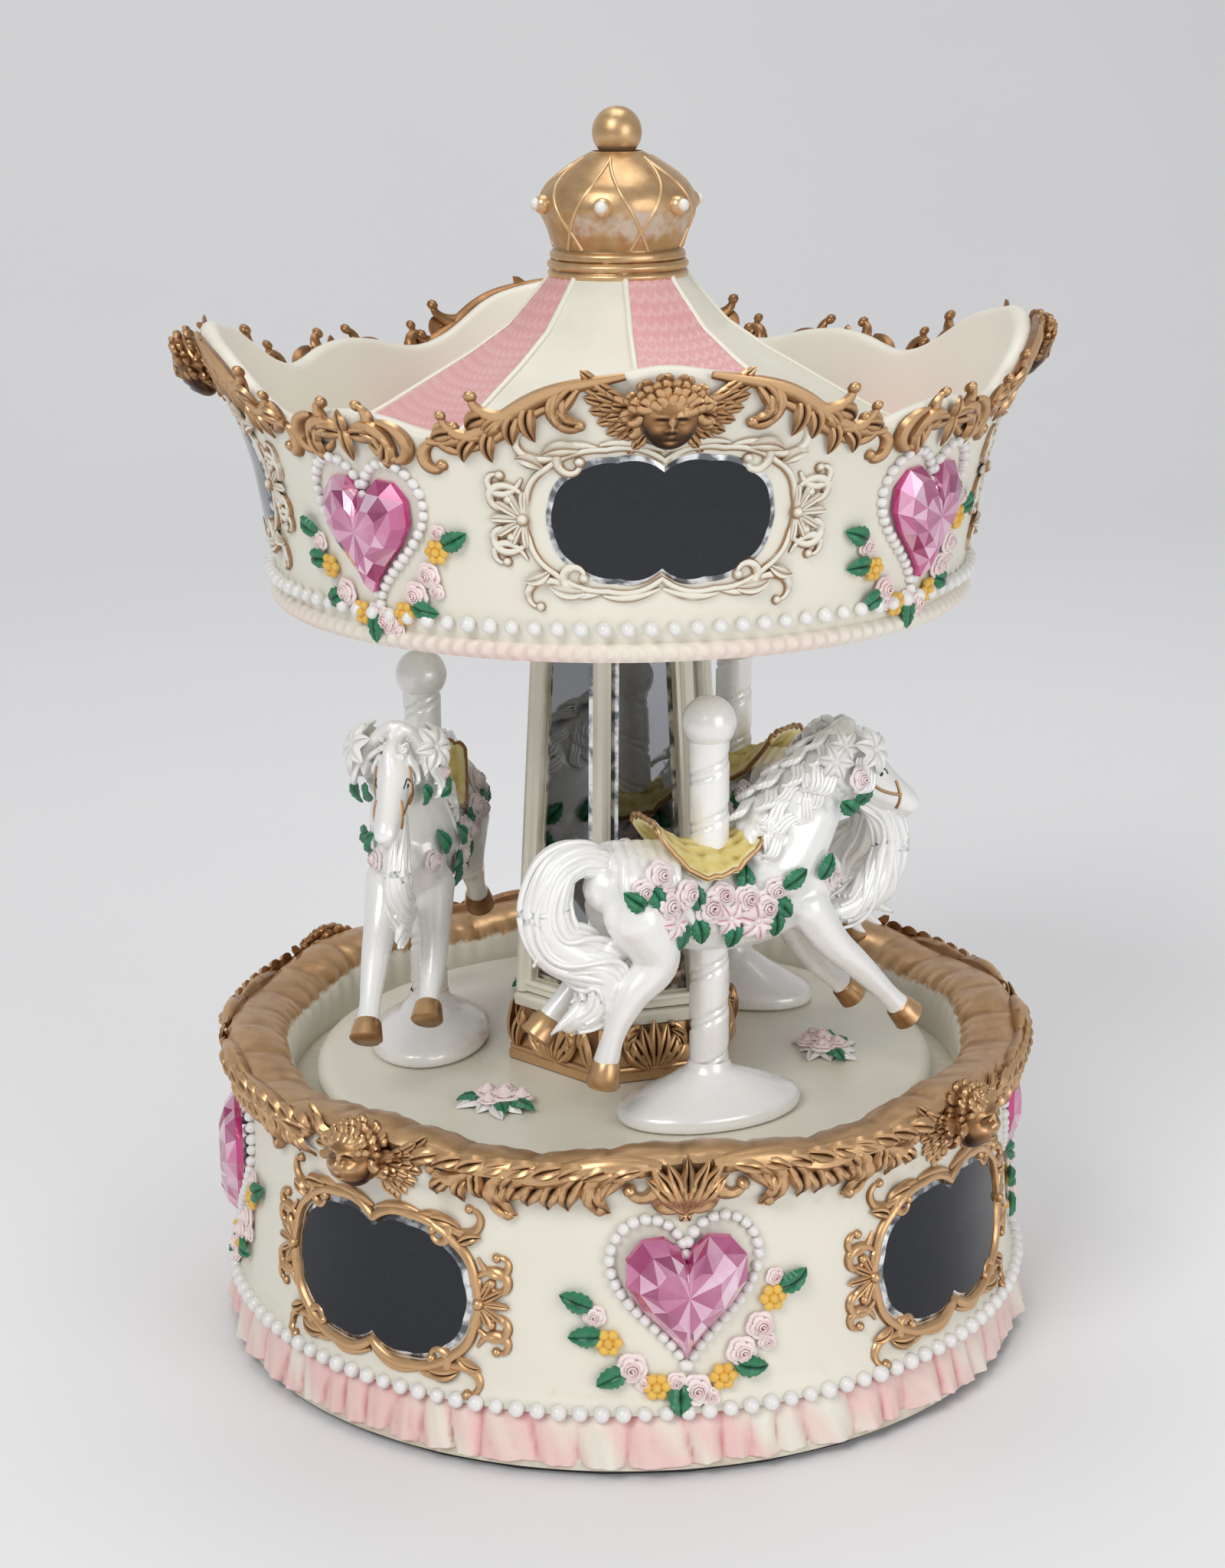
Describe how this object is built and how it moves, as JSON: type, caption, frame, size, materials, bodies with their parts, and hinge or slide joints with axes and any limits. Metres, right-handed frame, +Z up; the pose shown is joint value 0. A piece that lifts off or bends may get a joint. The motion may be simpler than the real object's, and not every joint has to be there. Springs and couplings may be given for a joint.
{
  "type": "carousel music box",
  "caption": "Wind-up carousel music box: a turntable with mirrored column, horses on twisted poles and a gilt crown-like canopy turns on a round base that holds the movement",
  "frame": {"origin": "on the spin axis, at the felt surface that the box stands on", "axes": "+Z up along the spin axis; -Y is the front, where one of the base's heart stones faces; +X is to the right seen from the front"},
  "size_m": [0.12, 0.12, 0.1752],
  "materials": {
    "base_plate": "dark grey moulded plate, matte",
    "base_resin": "ivory cold-cast resin, satin, with dry-brushed gilding on its rim and a pink washed skirt",
    "canopy_resin": "ivory cold-cast resin, satin, with dry-brushed gilding on its scrolls and rim",
    "column_resin": "ivory resin, satin",
    "crown_gilt": "resin with antique gold paint, worn to cream on its high spots",
    "felt": "dark grey pressed felt",
    "foot_resin": "pearl white resin, satin",
    "gems": "faceted transparent pink acrylic, foil-backed",
    "horse_pearl": "resin with pearl white paint, glossy",
    "mirrors": "bevelled mirror acrylic",
    "movement_brass": "brass and plated zinc, bright",
    "movement_steel": "blued and bright steel",
    "plinth_gilt": "resin with antique gold paint rubbed over cream",
    "pole_pearl": "spiral-moulded resin with pearl white paint",
    "roof_paint": "resin painted in pink and cream sectors, satin",
    "turntable_resin": "cream resin, slightly glossy"
  },
  "bodies": {
    "base": {"base_shell": "base_resin", "base_felt": "felt", "bottom_plate": "base_plate", "base_gem_1": "gems", "base_gem_2": "gems", "base_gem_3": "gems", "base_gem_4": "gems", "base_mirror_1": "mirrors", "base_mirror_2": "mirrors", "base_mirror_3": "mirrors", "base_mirror_4": "mirrors", "plate_screw_1": "movement_steel", "plate_screw_2": "movement_steel", "plate_screw_3": "movement_steel", "movement_screw_1": "movement_steel", "movement_screw_2": "movement_steel", "bedplate": "movement_brass", "comb": "movement_steel", "comb_screw_1": "movement_steel", "comb_screw_2": "movement_steel", "bearing_plate": "movement_brass", "ratchet_click": "movement_steel"},
    "carousel": {"turntable": "turntable_resin", "column": "column_resin", "column_plinth": "plinth_gilt", "column_mirror_1": "mirrors", "column_mirror_2": "mirrors", "column_mirror_3": "mirrors", "column_mirror_4": "mirrors", "column_mirror_5": "mirrors", "column_mirror_6": "mirrors", "canopy": "canopy_resin", "canopy_gem_1": "gems", "canopy_gem_2": "gems", "canopy_gem_3": "gems", "canopy_gem_4": "gems", "canopy_mirror_1": "mirrors", "canopy_mirror_2": "mirrors", "canopy_mirror_3": "mirrors", "canopy_mirror_4": "mirrors", "roof": "roof_paint", "crown_finial": "crown_gilt", "horse_1": "horse_pearl", "horse_1_foot": "foot_resin", "horse_1_pole": "pole_pearl", "horse_2": "horse_pearl", "horse_2_foot": "foot_resin", "horse_2_pole": "pole_pearl", "horse_3": "horse_pearl", "horse_3_foot": "foot_resin", "horse_3_pole": "pole_pearl", "drive_shaft": "movement_steel", "spring_barrel": "movement_brass", "mainspring": "movement_steel"},
    "key": {"winding_key": "movement_brass", "winding_arbor": "movement_steel"},
    "cylinder": {"cylinder_arbor": "movement_steel", "pin_cylinder": "movement_brass"},
    "governor": {"governor_arbor": "movement_steel"},
    "fly": {"air_brake": "movement_steel"}
  },
  "joints": [
    {"name": "turntable_spin", "type": "hinge", "parent": "base", "child": "carousel", "pos_m": [0, 0, 0.03], "axis": [0, 0, 1], "continuous": true},
    {"name": "key_spin", "type": "hinge", "parent": "base", "child": "key", "pos_m": [0, 0, 0.006], "axis": [0, 0, 1], "continuous": true},
    {"name": "cylinder_spin", "type": "hinge", "parent": "base", "child": "cylinder", "pos_m": [0.0292, 0, 0.0249], "axis": [1, 0, 0], "continuous": true},
    {"name": "governor_spin", "type": "hinge", "parent": "base", "child": "governor", "pos_m": [0.04, 0.00892, 0.0249], "axis": [1, 0, 0], "continuous": true},
    {"name": "fly_spin", "type": "hinge", "parent": "base", "child": "fly", "pos_m": [0.037, 0.01324, 0.024], "axis": [0, 0, 1], "continuous": true}
  ],
  "couplings": [
    {"joint": "cylinder_spin", "follows": "turntable_spin", "ratio": -4},
    {"joint": "governor_spin", "follows": "turntable_spin", "ratio": 10},
    {"joint": "fly_spin", "follows": "turntable_spin", "ratio": -120}
  ]
}
